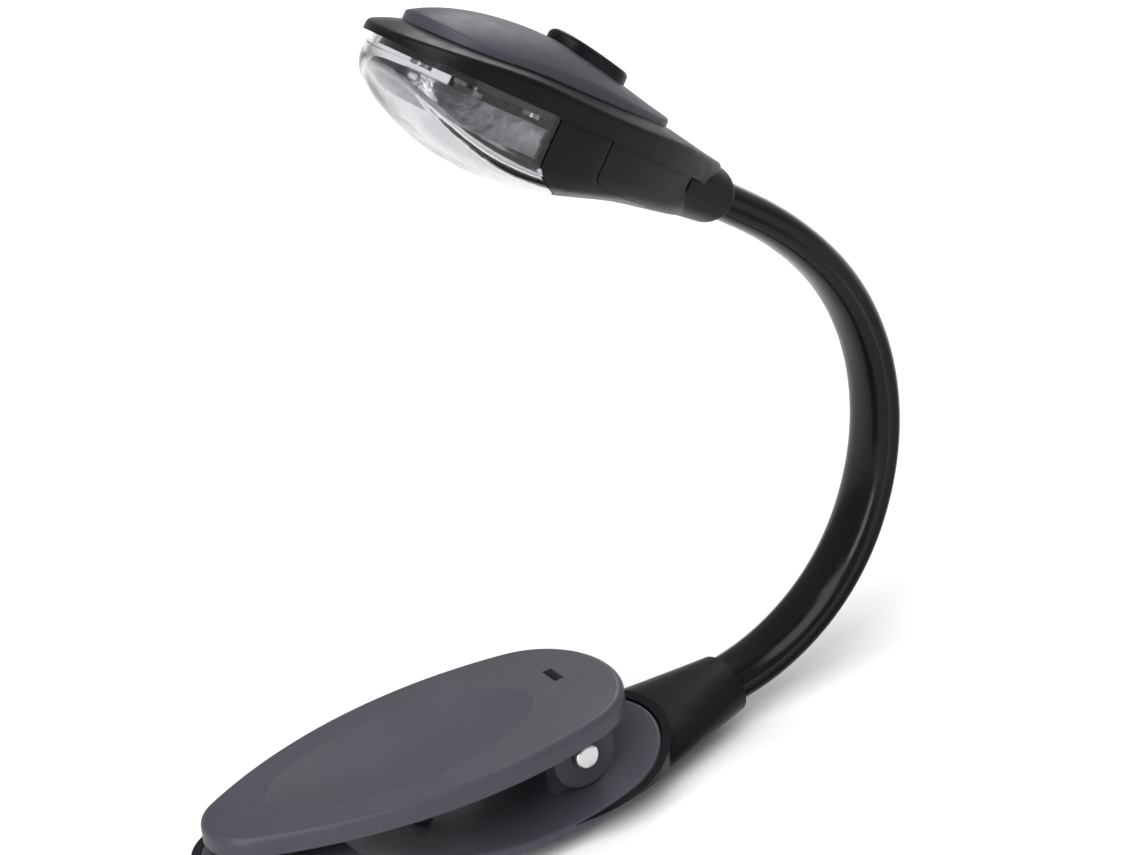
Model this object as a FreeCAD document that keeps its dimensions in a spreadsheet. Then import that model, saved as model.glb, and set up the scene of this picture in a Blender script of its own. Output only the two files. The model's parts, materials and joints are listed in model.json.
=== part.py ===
import FreeCAD, Part
import math
import os
import Sketcher

# Clip-on reading lamp: a spring clip, a flexible neck and a small lamp head.
# Row frame: origin at the middle of the lower jaw pad's top face, X from the jaw tips to the neck,
# Z up out of the pad. Head parts are drawn in the head's own frame (X from neck to nose, Z out of the
# dome) and then placed. Lengths are millimetres.

doc = FreeCAD.newDocument("reading_lamp")
sheet = doc.addObject("Spreadsheet::Sheet", "sizes")
V = FreeCAD.Vector

DIMENSIONS = {
    # finger paddle (upper jaw)
    "paddle_tip": -8.0, "paddle_rear": 58.0, "paddle_tip_radius": 7.0, "paddle_rear_radius": 13.0,
    "paddle_side_radius": 74.4, "paddle_top": 5.0, "paddle_thick": 3.0, "paddle_round": 1.1,
    "dish_centre": 23.0, "dish_long_radius": 210.0, "dish_cross_radius": 40.0, "dish_depth": 1.1,
    "slot_centre": 49.9, "slot_side": 2.1, "slot_width": 1.6, "slot_length": 3.4,
    # hinge
    "pin_x": 47.3, "pin_z": -2.5, "pin_radius": 1.5, "pin_head_radius": 2.0, "pin_reach": 9.4,
    "paddle_lug_inner": 6.5, "paddle_lug_outer": 8.5, "paddle_lug_radius": 5.0,
    "base_lug_inner": 4.2, "base_lug_outer": 6.2, "base_lug_radius": 4.0, "running_gap": 0.06,
    "coil_radius": 2.6, "wire_radius": 0.42, "coil_pitch": 1.05, "coil_height": 4.2,
    # jaw pads
    "pad_thick": 1.0, "pad_tip": -7.0, "pad_long": 14.0, "pad_wide": 11.0, "jaw_gap": 0.35,
    # lower jaw plate and base shell
    "plate_tip": -8.6, "plate_rear": 63.4, "plate_side_radius": 110.0, "plate_thick": 1.7,
    "plate_top": -1.0, "valley_start": 9.0, "valley_end": 65.5, "valley_end_z": -4.0,
    "valley_mid": 40.0, "valley_mid_z": -8.6, "shell_wall": 1.3, "shell_floor": 1.5, "seam": 0.15,
    "hull_axis": 16.0,
    "funnel_start": 55.0, "funnel_start_wide": 12.6, "funnel_start_high": 2.7, "funnel_start_z": -8.95,
    "socket_end": 77.5, "socket_wide": 5.7, "socket_high": 3.9, "socket_z": -6.8,
    # neck
    "neck_wide": 9.2, "neck_thick": 5.6, "core_radius": 0.9, "lead_radius": 0.65, "lead_offset": 2.2,
    "groove_radius": 0.55,
    # lamp head
    "head_nose": 66.5, "head_tip": 7.0, "head_nose_radius": 12.6, "head_tip_radius": 6.0,
    "head_side_radius": 58.0, "head_wall": 1.3, "dome_axis": -8.0, "rim_axis": -30.0,
    "dome_tip": 19.0, "dome_nose": 62.0, "dome_tip_radius": 6.2, "dome_nose_radius": 10.4,
    "skirt_low": 3.0, "split": 1.2,
    "bowl_axis": 20.0, "lens_inset": 0.9, "lens_wall": 1.2, "lens_rear_centre": 47.7, "lens_rear_radius": 13.7,
    "head_socket_end": 5.6, "head_socket_wide": 6.1, "head_socket_high": 4.1,
    "button_centre": 34.5, "button_long": 13.0, "button_wide": 8.6, "button_rise": 1.6,
    "button_travel": 0.8, "button_gap": 0.15,
    "board_low": 0.3, "board_thick": 1.0, "cell_radius": 10.0, "cell_thick": 3.2, "cell_centre": 30.5,
    "cell_low": -3.7,
    "led_centre": 50.0, "led_radius": 1.5, "led_flange": 1.9, "led_tip": -4.4,
    "screw_radius": 0.8, "screw_head": 1.5,
}


class Size:
    """A length with the sheet expression that drives it."""

    def __init__(self, value, text):
        self.value = float(value)
        self.text = text

    def _join(self, other, sign, value, flip=False):
        other = as_size(other)
        left, right = (other, self) if flip else (self, other)
        return Size(value(left.value, right.value), f"({left.text} {sign} {right.text})")

    def __add__(self, other):
        return self._join(other, "+", lambda a, b: a + b)

    def __radd__(self, other):
        return self._join(other, "+", lambda a, b: a + b, True)

    def __sub__(self, other):
        return self._join(other, "-", lambda a, b: a - b)

    def __rsub__(self, other):
        return self._join(other, "-", lambda a, b: a - b, True)

    def __mul__(self, other):
        return self._join(other, "*", lambda a, b: a * b)

    def __rmul__(self, other):
        return self._join(other, "*", lambda a, b: a * b, True)

    def __neg__(self):
        return self * -1


def as_size(value):
    return value if isinstance(value, Size) else Size(value, f"{float(value):.5f}")


def fill_sheet():
    for row, (name, value) in enumerate(DIMENSIONS.items(), start=1):
        sheet.set(f"A{row}", name)
        sheet.set(f"B{row}", f"{value}")
        sheet.setAlias(f"B{row}", name)
    doc.recompute()


fill_sheet()
D = {name: Size(value, f"sizes.{name}") for name, value in DIMENSIONS.items()}


def bind(thing, prop, size):
    size = as_size(size)
    setattr(thing, prop, size.value)
    thing.setExpression(prop, size.text)


# ---------------------------------------------------------------- neck path and head pose

NECK_START = V(79.0, 0, -6.27)
NECK_START_ANGLE = 7.84
NECK_LINK = 15.68
NECK_BENDS = (26.45, 27.82, 22.97, 22.13, 21.97, 14.6)
STUB = 10.0


def along(angle):
    return V(math.cos(math.radians(angle)), 0, math.sin(math.radians(angle)))


def neck_joints():
    """The seven bending places, each with the neck's direction there in degrees."""
    places = [(NECK_START, NECK_START_ANGLE)]
    for bend in NECK_BENDS:
        point, angle = places[-1]
        chord = 2 * NECK_LINK / math.radians(bend) * math.sin(math.radians(bend / 2))
        places.append((point + along(angle + bend / 2) * chord, angle + bend))
    return places


JOINTS = neck_joints()
HEAD_STUB = 2.0
HEAD_ORIGIN = JOINTS[-1][0] + along(JOINTS[-1][1]) * HEAD_STUB
HEAD_X = along(JOINTS[-1][1])
HEAD_Z = V(HEAD_X.z, 0, -HEAD_X.x)
HEAD = FreeCAD.Placement(HEAD_ORIGIN, FreeCAD.Rotation(HEAD_X, HEAD_Z.cross(HEAD_X), HEAD_Z, "XZY"))


# ---------------------------------------------------------------- building blocks

def new_body(name):
    return doc.addObject("PartDesign::Body", name)


def plane_of(body, role):
    return next(f for f in body.Origin.OriginFeatures if f.Role == role)


def sketch_in(body, name, role, offset=0.0):
    sketch = body.newObject("Sketcher::SketchObject", name)
    sketch.AttachmentSupport = [(plane_of(body, role), "")]
    sketch.MapMode = "FlatFace"
    offset = as_size(offset)
    sketch.AttachmentOffset = FreeCAD.Placement(V(0, 0, offset.value), FreeCAD.Rotation())
    sketch.setExpression("AttachmentOffset.Base.z", offset.text)
    return sketch


def pin_point(sketch, geo, pos, x, y):
    """Hold a sketch point at a bound position."""
    for kind, size in (("DistanceX", as_size(x)), ("DistanceY", as_size(y))):
        if size.value == 0.0:
            axis = -2 if kind == "DistanceX" else -1
            sketch.addConstraint(Sketcher.Constraint("PointOnObject", geo, pos, axis))
            continue
        number = sketch.addConstraint(Sketcher.Constraint(kind, -1, 1, geo, pos, size.value))
        sketch.setExpression(f"Constraints[{number}]", size.text)


def bound_radius(sketch, geo, size):
    size = as_size(size)
    number = sketch.addConstraint(Sketcher.Constraint("Radius", geo, size.value))
    sketch.setExpression(f"Constraints[{number}]", size.text)


def draw_polygon(sketch, points):
    """Closed run of straight lines with every corner bound."""
    points = [(as_size(x), as_size(y)) for x, y in points]
    flat = [V(x.value, y.value, 0) for x, y in points]
    count = len(flat)
    first = sketch.GeometryCount
    for i in range(count):
        sketch.addGeometry(Part.LineSegment(flat[i], flat[(i + 1) % count]), False)
    for i in range(count):
        sketch.addConstraint(Sketcher.Constraint("Coincident", first + i, 2, first + (i + 1) % count, 1))
    for i, (x, y) in enumerate(points):
        pin_point(sketch, first + i, 1, x, y)


def draw_circle(sketch, x, y, radius):
    x, y, radius = as_size(x), as_size(y), as_size(radius)
    geo = sketch.addGeometry(Part.Circle(V(x.value, y.value, 0), V(0, 0, 1), radius.value), False)
    bound_radius(sketch, geo, radius)
    pin_point(sketch, geo, 3, x, y)


def draw_ellipse(sketch, x, y, half_x, half_y):
    x, y, half_x, half_y = (as_size(v) for v in (x, y, half_x, half_y))
    centre = V(x.value, y.value, 0)
    wide = half_x.value >= half_y.value
    major = V(half_x.value, 0, 0) if wide else V(0, half_y.value, 0)
    minor = V(0, half_y.value, 0) if wide else V(-half_x.value, 0, 0)
    sketch.addGeometry(Part.Ellipse(centre + major, centre + minor, centre), False)


def draw_stadium(sketch, x, y, long_x, wide_y):
    """Slot shape lying along the sketch's X."""
    x, y, long_x, wide_y = (as_size(v) for v in (x, y, long_x, wide_y))
    r = wide_y * 0.5
    left, right = x - (long_x * 0.5 - r), x + (long_x * 0.5 - r)
    half_pi = math.pi / 2
    arcs = []
    for centre, start in ((right, -half_pi), (left, half_pi)):
        circle = Part.Circle(V(centre.value, y.value, 0), V(0, 0, 1), r.value)
        arcs.append(sketch.addGeometry(Part.ArcOfCircle(circle, start, start + math.pi), False))
    lines = []
    for sign, a, b in ((1, right, left), (-1, left, right)):
        start, end = V(a.value, y.value + sign * r.value, 0), V(b.value, y.value + sign * r.value, 0)
        lines.append(sketch.addGeometry(Part.LineSegment(start, end), False))
    order = [arcs[0], lines[0], arcs[1], lines[1]]
    for i, geo in enumerate(order):
        sketch.addConstraint(Sketcher.Constraint("Tangent", geo, 2, order[(i + 1) % 4], 1))
    bound_radius(sketch, arcs[0], r)
    pin_point(sketch, arcs[0], 3, right, y)
    pin_point(sketch, arcs[1], 3, left, y)


def draw_egg(sketch, tip, rear, tip_radius, rear_radius, side_radius):
    """Teardrop outline of four arcs, each tangent to the next, symmetric about the sketch's X."""
    tip, rear, tip_radius, rear_radius, side_radius = (
        as_size(v) for v in (tip, rear, tip_radius, rear_radius, side_radius)
    )
    ct, cr = tip + tip_radius, rear - rear_radius
    span = cr.value - ct.value
    to_tip, to_rear = side_radius.value - tip_radius.value, side_radius.value - rear_radius.value
    dx = (to_tip**2 - to_rear**2 + span**2) / (2 * span)
    drop = math.sqrt(to_tip**2 - dx**2)
    up_tip, up_rear = math.atan2(drop, -dx), math.atan2(drop, span - dx)
    spots = (
        (V(cr.value, 0, 0), rear_radius, -up_rear, up_rear),
        (V(ct.value + dx, -drop, 0), side_radius, up_rear, up_tip),
        (V(ct.value, 0, 0), tip_radius, up_tip, 2 * math.pi - up_tip),
        (V(ct.value + dx, drop, 0), side_radius, 2 * math.pi - up_tip, 2 * math.pi - up_rear),
    )
    arcs = []
    for centre, radius, start, end in spots:
        circle = Part.Circle(centre, V(0, 0, 1), radius.value)
        arcs.append(sketch.addGeometry(Part.ArcOfCircle(circle, start, end), False))
    for i, geo in enumerate(arcs):
        sketch.addConstraint(Sketcher.Constraint("Tangent", geo, 2, arcs[(i + 1) % 4], 1))
    pin_point(sketch, arcs[0], 3, cr, 0)
    pin_point(sketch, arcs[2], 3, ct, 0)
    for geo, radius in ((arcs[0], rear_radius), (arcs[1], side_radius),
                        (arcs[2], tip_radius), (arcs[3], side_radius)):
        bound_radius(sketch, geo, radius)


def pad(body, sketch, length, both_ways=False, cut=False, back=False, through=False):
    """Pad or pocket a sketch."""
    feature = body.newObject("PartDesign::Pocket" if cut else "PartDesign::Pad", sketch.Name + "_made")
    feature.Profile = sketch
    if through:
        feature.Type = "ThroughAll"
    else:
        bind(feature, "Length", length)
    if both_ways:
        feature.Midplane = True
    if back:
        feature.Reversed = True
    body.Tip = feature
    sketch.Visibility = False
    return feature


def turned(body, sketch, cut=False):
    """Revolve a sketch about its own construction line."""
    feature = body.newObject("PartDesign::Groove" if cut else "PartDesign::Revolution", sketch.Name + "_made")
    feature.Profile = sketch
    feature.ReferenceAxis = (sketch, ["Axis0"])
    feature.Angle = 360.0
    body.Tip = feature
    return feature


def combined(kind, name, first, second):
    """Boolean of two document objects: Cut, Common or Fuse."""
    feature = doc.addObject(f"Part::{kind}", name)
    feature.Base = first
    feature.Tool = second
    doc.recompute()
    return feature


def prism(name, draw, low, high, role="XY_Plane"):
    """A body padded from low to high square to its sketch plane; draw fills the sketch."""
    body = new_body(name)
    low, high = as_size(low), as_size(high)
    sketch = sketch_in(body, name + "_outline", role, low)
    draw(sketch)
    pad(body, sketch, high - low)
    doc.recompute()
    return body


def across(name, draw, width):
    """A body padded both ways from the symmetry plane; the sketch is X along, Z up."""
    body = new_body(name)
    sketch = sketch_in(body, name + "_profile", "XZ_Plane")
    draw(sketch)
    pad(body, sketch, width, both_ways=True)
    doc.recompute()
    return body


FINISHED = []


def finish(thing, node, placement=None):
    """Name a finished sub-part and keep it for the export."""
    thing.Label = node
    if placement is not None:
        thing.Placement = placement.multiply(thing.Placement)
    FINISHED.append(thing)
    return thing


def rounded(name, source, radius, wanted):
    """Fillet the source's edges that wanted picks."""
    doc.recompute()
    feature = doc.addObject("Part::Fillet", name)
    feature.Base = source
    numbers = [i for i, edge in enumerate(source.Shape.Edges, start=1) if wanted(edge)]
    feature.Edges = [(n, radius, radius) for n in numbers]
    doc.recompute()
    return feature


# ---------------------------------------------------------------- forms shared by several sub-parts

DOME_LINE = ((10, 5.6), (19, 7.2), (25, 8.1), (31.8, 9.2), (41.8, 10.2), (50.6, 9.6), (55.4, 8.6),
             (60.4, 6.7), (64.9, 3.8), (68, 1.2))
RIM_LINE = ((-2, 3.9), (7, 4.6), (12, 5.1), (19, 6.0), (30, 6.7), (42, 7.0), (50.6, 6.7), (56, 5.9),
            (62, 4.3), (66.5, 2.2), (69, 0.7))
SPLIT_DROP = ((40, 0), (46, 0), (52, -0.05), (58, -0.5), (62.5, -1.05), (66.5, -1.7), (70, -2.4))
BOWL_LINE = ((-2, -4.0), (12, -4.8), (17.5, -5.6), (24, -6.6), (31.3, -8.3), (38, -9.8), (44.5, -10.4),
             (50, -10.0), (55.7, -8.5), (60.5, -6.2), (64, -3.4), (67, -0.6), (69, 1.6))
SHELL_LINE = ((-12, -4.4), (-4, -5.1), (10, -7.3), (20, -9.6), (35, -12.0), (47, -12.7), (56, -11.7),
              (62, -11.0), (70, -10.6))


def spline(points, shift=0.0):
    curve = Part.BSplineCurve()
    curve.interpolate([V(x, z + shift, 0) for x, z in points])
    return curve


def draw_under_line(sketch, points, shift, level, about_level=False):
    """Region between a smooth line and a straight level; the level can be a turning axis."""
    if about_level:
        points = [(x, z - level) for x, z in points]
        level = 0.0
    sketch.addGeometry(spline(points, shift), False)
    (x0, z0), (x1, z1) = points[0], points[-1]
    corners = [V(x1, z1 + shift, 0), V(x1, level, 0), V(x0, level, 0), V(x0, z0 + shift, 0)]
    for a, b in zip(corners, corners[1:]):
        sketch.addGeometry(Part.LineSegment(a, b), False)
    for i in range(4):
        sketch.addConstraint(Sketcher.Constraint("Coincident", i, 2, (i + 1) % 4, 1))
    if about_level:
        sketch.addGeometry(Part.LineSegment(V(x0, level, 0), V(x1, level, 0)), True)


def turned_form(name, points, shift, axis):
    body = new_body(name)
    sketch = sketch_in(body, name + "_line", "XY_Plane", axis)
    draw_under_line(sketch, points, shift, axis.value, about_level=True)
    turned(body, sketch)
    doc.recompute()
    return body


def head_egg(name, inset, low, high):
    inset = as_size(inset)

    def draw(sketch):
        draw_egg(sketch, D["head_tip"] + inset, D["head_nose"] - inset, D["head_tip_radius"] - inset,
                 D["head_nose_radius"] - inset, D["head_side_radius"] - inset)

    return prism(name, draw, low, high)


def dome_form(name, shift):
    return turned_form(name, DOME_LINE, shift, D["dome_axis"])


def rim_form(name, shift):
    return turned_form(name, RIM_LINE, shift, D["rim_axis"])


def bowl_form(name, shift):
    return turned_form(name, BOWL_LINE, shift, D["bowl_axis"])


def nose_drop(name, below=False):
    """Everything above, or below, the line where rim and lens meet; it dips towards the nose."""
    split = D["split"]

    def draw(sketch):
        draw_under_line(sketch, SPLIT_DROP, split.value, -20 if below else 20)

    front = across(name + "_nose", draw, 60)
    rear = box(name + "_rear", (-10, -30, -20 if below else split), (40.5, 30, split if below else 20))
    return fused(name, [front, rear])


def rim_block(name, inset, shift):
    """Solid of the rim above the split, drawn in from the outside by inset."""
    plan = head_egg(name + "_plan", inset, -4, 13)
    block = combined("Common", name + "_block", plan, rim_form(name + "_top", shift))
    return combined("Common", name, block, nose_drop(name + "_split"))


def dome_block(name, grow, shift, low):
    """Solid under the dome's skin, with the plan of the dome's opening grown by grow."""
    return combined("Common", name, dome_opening(name + "_plan", grow, low), dome_form(name + "_top", shift))


def lower_block(name, inset, shift, high=None):
    plan = head_egg(name + "_plan", inset, -13, D["split"] if high is None else high)
    return combined("Common", name, plan, bowl_form(name + "_under", shift))


def box(name, low, high):
    """Axis-aligned block between two corners of sizes."""
    low, high = [as_size(v) for v in low], [as_size(v) for v in high]
    block = doc.addObject("Part::Box", name)
    for prop, a, b in zip(("Length", "Width", "Height"), low, high):
        bind(block, prop, b - a)
    block.Placement.Base = V(*(v.value for v in low))
    for axis, v in zip("xyz", low):
        block.setExpression(f"Placement.Base.{axis}", v.text)
    return block


def drum(name, radius, low, high, x=0, y=0, axis="Z"):
    """Cylinder about Z at (x, y), or about Y at (x, z), from low to high along its axis."""
    low, high, x, y = as_size(low), as_size(high), as_size(x), as_size(y)
    cylinder = doc.addObject("Part::Cylinder", name)
    bind(cylinder, "Radius", radius)
    bind(cylinder, "Height", high - low)
    if axis == "Z":
        places = (x, y, low)
    else:
        places = (x, low, y)
        cylinder.Placement.Rotation = FreeCAD.Rotation(V(1, 0, 0), -90)
    for letter, v in zip("xyz", places):
        setattr(cylinder.Placement.Base, letter, v.value)
        cylinder.setExpression(f"Placement.Base.{letter}", v.text)
    return cylinder


def fused(name, pieces):
    feature = doc.addObject("Part::MultiFuse", name)
    feature.Shapes = pieces
    doc.recompute()
    return feature


def grouped(name, pieces):
    """Several identical loose solids that share one node."""
    feature = doc.addObject("Part::Compound", name)
    feature.Links = pieces
    doc.recompute()
    return feature


def cut_all(name, base, tools):
    for number, tool in enumerate(tools, start=1):
        last = number == len(tools)
        base = combined("Cut", name if last else f"{name}_step{number}", base, tool)
    return base


# ---------------------------------------------------------------- lamp head

def bowl_edge(edge):
    """True for the long lower edges of the lens and battery door."""
    return edge.BoundBox.ZMax < -1 and edge.BoundBox.YLength > 1


def rim_top_edge(edge):
    """True for the rim's upper outer edge."""
    box = edge.BoundBox
    return box.YLength > 1 and box.ZMax > D["split"].value + 0.5 and box.ZMin > D["split"].value - 0.6


def dome_opening(name, grow, low):
    grow = as_size(grow)

    def draw(sketch):
        draw_egg(sketch, D["dome_tip"] - grow, D["dome_nose"] + grow, D["dome_tip_radius"] + grow,
                 D["dome_nose_radius"] + grow, D["head_side_radius"] + grow)

    return prism(name, draw, low, 14)


def lens_plan(name, grow):
    """Everything ahead of the lens's round rear end."""
    x, radius = D["lens_rear_centre"], D["lens_rear_radius"] + grow
    front = box(name + "_front", (x, -20, -14), (80, 20, 3))
    return fused(name, [drum(name + "_rear", radius, -14, 3, x, 0), front])


def door_plan(name, grow):
    grow = as_size(grow)

    def draw(sketch):
        draw_egg(sketch, 15.4 - grow, 76 + grow, 7.6 + grow, 15 + grow, 70 + grow)

    return prism(name, draw, -13, D["split"])


def neck_profile(sketch, gap=0.0):
    draw_ellipse(sketch, 0, 0, D["neck_wide"] * 0.5 + gap, D["neck_thick"] * 0.5 + gap)


def head_socket():
    """Tapered oval tube that the neck's end sits in."""
    ends = []
    for name, x, wide, high in (("socket_mouth", D["head_socket_end"].value, D["head_socket_wide"], D["head_socket_high"]),
                                ("socket_root", 15.2, 7.4, 5.0)):
        sketch = doc.addObject("Sketcher::SketchObject", name)
        sketch.Placement = FreeCAD.Placement(V(x, 0, 0), FreeCAD.Rotation(V(0, 1, 0), V(0, 0, 1), V(1, 0, 0), "ZXY"))
        draw_ellipse(sketch, 0, 0, wide, high)
        ends.append(sketch)
    loft = doc.addObject("Part::Loft", "socket_tube")
    loft.Sections = ends
    loft.Solid = True
    loft.Ruled = True
    doc.recompute()
    return rounded("socket_soft", loft, 0.6, lambda edge: edge.BoundBox.XMax < D["head_socket_end"].value + 0.1)


def neck_bore(name, low, high):
    body = new_body(name)
    sketch = sketch_in(body, name + "_oval", "YZ_Plane", low)
    neck_profile(sketch, 0.12)
    pad(body, sketch, as_size(high) - low)
    return body


def head_shell():
    outer = rim_block("rim_outer", 0, 0)
    soft = rounded("rim_soft", outer, 1.0, rim_top_edge)
    wall = D["head_wall"]
    hollow = rim_block("rim_hollow", wall, -wall.value)
    chin_all = rounded("chin_all", lower_block("chin_block", D["lens_inset"], 0), 3.4, bowl_edge)
    chin = combined("Cut", "chin", chin_all, lens_plan("chin_front", 0.15))
    chin_room = lower_block("chin_room", D["lens_inset"] + D["lens_wall"], D["lens_wall"].value, D["split"] + 0.8)
    chin_hollow = rounded("chin_hollow", chin_room, 1.5, bowl_edge)
    whole = fused("head_solid", [soft, head_socket(), chin])
    tools = [hollow, chin_hollow, door_plan("door_hole", 0.12), dome_opening("dome_hole", 0.12, D["split"]),
             neck_bore("head_bore", -1, 10.2), drum_along("head_wire_way", 2.6, 9, 20)]
    finish(cut_all("head_shell_made", whole, tools), "head_shell", HEAD)


def drum_along(name, radius, low, high):
    """Round passage along X."""
    cylinder = drum(name, radius, 0, as_size(high) - low)
    cylinder.Placement = FreeCAD.Placement(V(as_size(low).value, 0, 0), FreeCAD.Rotation(V(0, 1, 0), 90))
    for letter, value in (("x", low), ("y", 0), ("z", 0)):
        cylinder.setExpression(f"Placement.Base.{letter}", as_size(value).text)
    return cylinder


BOARD_SCREWS = ((58.5, 0), (45.0, 8.2), (45.0, -8.2))


def dome_cover():
    wall = D["head_wall"]
    solid = dome_block("dome_solid", 0, 0, D["skirt_low"])
    soft = rounded("dome_soft", solid, 0.5, lambda edge: edge.BoundBox.ZMin > 4 and edge.BoundBox.YLength > 1)
    skin = combined("Cut", "dome_skin", soft, dome_block("dome_inner", -wall, -wall.value, 0))
    posts = [drum(f"post_{i}", 1.9, D["board_low"] + D["board_thick"] + 0.03, 8.2, x, y)
             for i, (x, y) in enumerate(BOARD_SCREWS)]
    post_set = combined("Common", "post_set", fused("posts", posts), dome_block("post_limit", -0.5, -0.5, 0))
    whole = fused("dome_whole", [skin, post_set])
    holes = [drum(f"post_hole_{i}", D["screw_radius"] + 0.05, 0, 5.2, x, y)
             for i, (x, y) in enumerate(BOARD_SCREWS)]
    tools = [button_prism("button_hole", D["button_gap"], 0, 14)] + holes
    finish(cut_all("dome_made", whole, tools), "dome_cover", HEAD)


def button_prism(name, grow, low, high):
    grow = as_size(grow)

    def draw(sketch):
        draw_stadium(sketch, D["button_centre"], 0, D["button_long"] + 2 * grow, D["button_wide"] + 2 * grow)

    return prism(name, draw, low, high)


def switch_button():
    top = dome_form("button_top", D["button_rise"].value)
    cap = combined("Common", "button_cap", button_prism("button_stem", 0, 5.6, 14), top)
    soft = rounded("button_soft", cap, 0.9, lambda edge: edge.BoundBox.ZMin > 7 and edge.BoundBox.YLength > 0.5)
    flange = button_prism("button_flange", 0.8, 5.0, 5.8)
    plunger = drum("button_plunger", 1.4, 3.3, 5.2, D["button_centre"], 0)
    finish(fused("button_made", [soft, flange, plunger]), "switch_button", HEAD)


def switch_housing():
    x, top = D["button_centre"], D["board_low"] + D["board_thick"]
    block = box("switch_block", (x - 3, -3, top), (x + 3, 3, 3.6))
    bore = drum("switch_bore", 1.55, 2.2, 4, x, 0)
    finish(combined("Cut", "switch_made", block, bore), "switch_housing", HEAD)


def circuit_board():
    low, high = D["board_low"], D["board_low"] + D["board_thick"]
    board = head_egg("board_plan", 2.7, low, high)
    end = box("board_end", (0, -20, -1), (18, 20, 3))
    holes = [drum(f"board_hole_{i}", D["screw_radius"] + 0.1, -1, 3, x, y)
             for i, (x, y) in enumerate(BOARD_SCREWS)]
    leads = [drum(f"lead_hole_{i}", 0.4, -1, 3, D["led_centre"], y) for i, y in enumerate((-1.27, 1.27))]
    finish(cut_all("board_made", board, [end] + holes + leads), "circuit_board", HEAD)


def board_screws():
    screws = []
    for i, (x, y) in enumerate(BOARD_SCREWS):
        head = drum(f"screw_head_{i}", D["screw_head"], D["board_low"] - 0.6, D["board_low"], x, y)
        shank = drum(f"screw_shank_{i}", D["screw_radius"], D["board_low"] - 0.3, 4.8, x, y)
        screws.append(fused(f"board_screw_{i}", [head, shank]))
    finish(grouped("board_screws_made", screws), "board_screws", HEAD)


def chip_parts():
    top = D["board_low"] + D["board_thick"]
    spots = ((52.0, 5.0, 2.0, 1.2), (52.0, -5.0, 2.0, 1.2), (26.0, 4.5, 3.2, 2.6))
    chips = [box(f"chip_{i}", (x - a / 2, y - b / 2, top), (x + a / 2, y + b / 2, top + 0.7))
             for i, (x, y, a, b) in enumerate(spots)]
    finish(grouped("chips_made", chips), "board_chips", HEAD)


def led_bulb():
    x, radius = D["led_centre"], D["led_radius"]
    column = drum("led_column", radius, D["led_tip"] + radius, -0.4, x, 0)
    tip = doc.addObject("Part::Sphere", "led_tip_ball")
    bind(tip, "Radius", radius)
    tip.Placement.Base = V(x.value, 0, D["led_tip"].value + radius.value)
    tip.setExpression("Placement.Base.x", x.text)
    tip.setExpression("Placement.Base.z", (D["led_tip"] + radius).text)
    flange = drum("led_rim", D["led_flange"], -0.9, -0.3, x, 0)
    finish(fused("led_made", [column, tip, flange]), "led_bulb", HEAD)


def led_leads():
    leads = [drum(f"led_lead_{i}", 0.25, -0.3, 2.0, D["led_centre"], y) for i, y in enumerate((-1.27, 1.27))]
    finish(grouped("leads_made", leads), "led_leads", HEAD)


def reflector():
    """Bright cup round the lamp, with a notch for the cell behind it."""
    tray = combined("Common", "cup_tray", head_egg("cup_plan", 2.6, -5.0, -1.0),
                    bowl_form("cup_under", 1.8))
    rear = box("cup_rear", (0, -20, -12), (35.2, 20, 2))
    cell_room = drum("cup_cell_room", D["cell_radius"] + 0.95, -4.1, 2, D["cell_centre"], 0)
    cone = doc.addObject("Part::Cone", "cup_cone")
    cone.Radius1, cone.Radius2, cone.Height = 11.6, 2.3, 3.7
    cone.Placement.Base = V(D["led_centre"].value, 0, -5.3)
    hole = drum("cup_hole", D["led_radius"] + 0.15, -6, 0, D["led_centre"], 0)
    tools = [rear, cell_room, cone, hole]
    finish(cut_all("cup_made", tray, tools), "reflector", HEAD)


def lens():
    inset, wall = D["lens_inset"], D["lens_wall"]
    outer = lower_block("lens_outer", inset, 0)
    soft = rounded("lens_soft", outer, 3.4, bowl_edge)
    bowl = combined("Common", "lens_bowl", soft, nose_drop("lens_split", below=True))
    flange = combined("Cut", "lens_flange", head_egg("flange_outer", 1.45, -1.0, 1.5),
                      head_egg("flange_inner", 2.2, -2, 3))
    whole = fused("lens_whole", [bowl, flange])
    room = lower_block("lens_room", inset + wall, wall.value, high=2)
    hollow = rounded("lens_hollow", room, 1.5, bowl_edge)
    shell = combined("Cut", "lens_shell", whole, hollow)
    finish(combined("Common", "lens_made", shell, lens_plan("lens_outline", 0)), "lens", HEAD)


def battery_door():
    inset, wall = D["lens_inset"], D["lens_wall"]
    outer = lower_block("door_outer", inset, 0)
    soft = rounded("door_soft", outer, 3.4, bowl_edge)
    tongue = combined("Common", "door_tongue", soft, door_plan("door_outline", 0))
    front = lens_plan("door_front", 0.15)
    room = lower_block("door_room", inset + wall, wall.value, high=2)
    hollow = rounded("door_hollow", room, 1.5, bowl_edge)
    nick = doc.addObject("Part::Torus", "nail_nick")
    nick.Radius1, nick.Radius2 = 4.6, 0.75
    nick.Placement.Base = V(23.5, 0, -6.3)
    notch = combined("Common", "nail_notch", nick, box("notch_box", (15, -5, -8), (22.6, 5, -4)))
    finish(cut_all("door_made", tongue, [front, hollow, notch]), "battery_door", HEAD)


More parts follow.
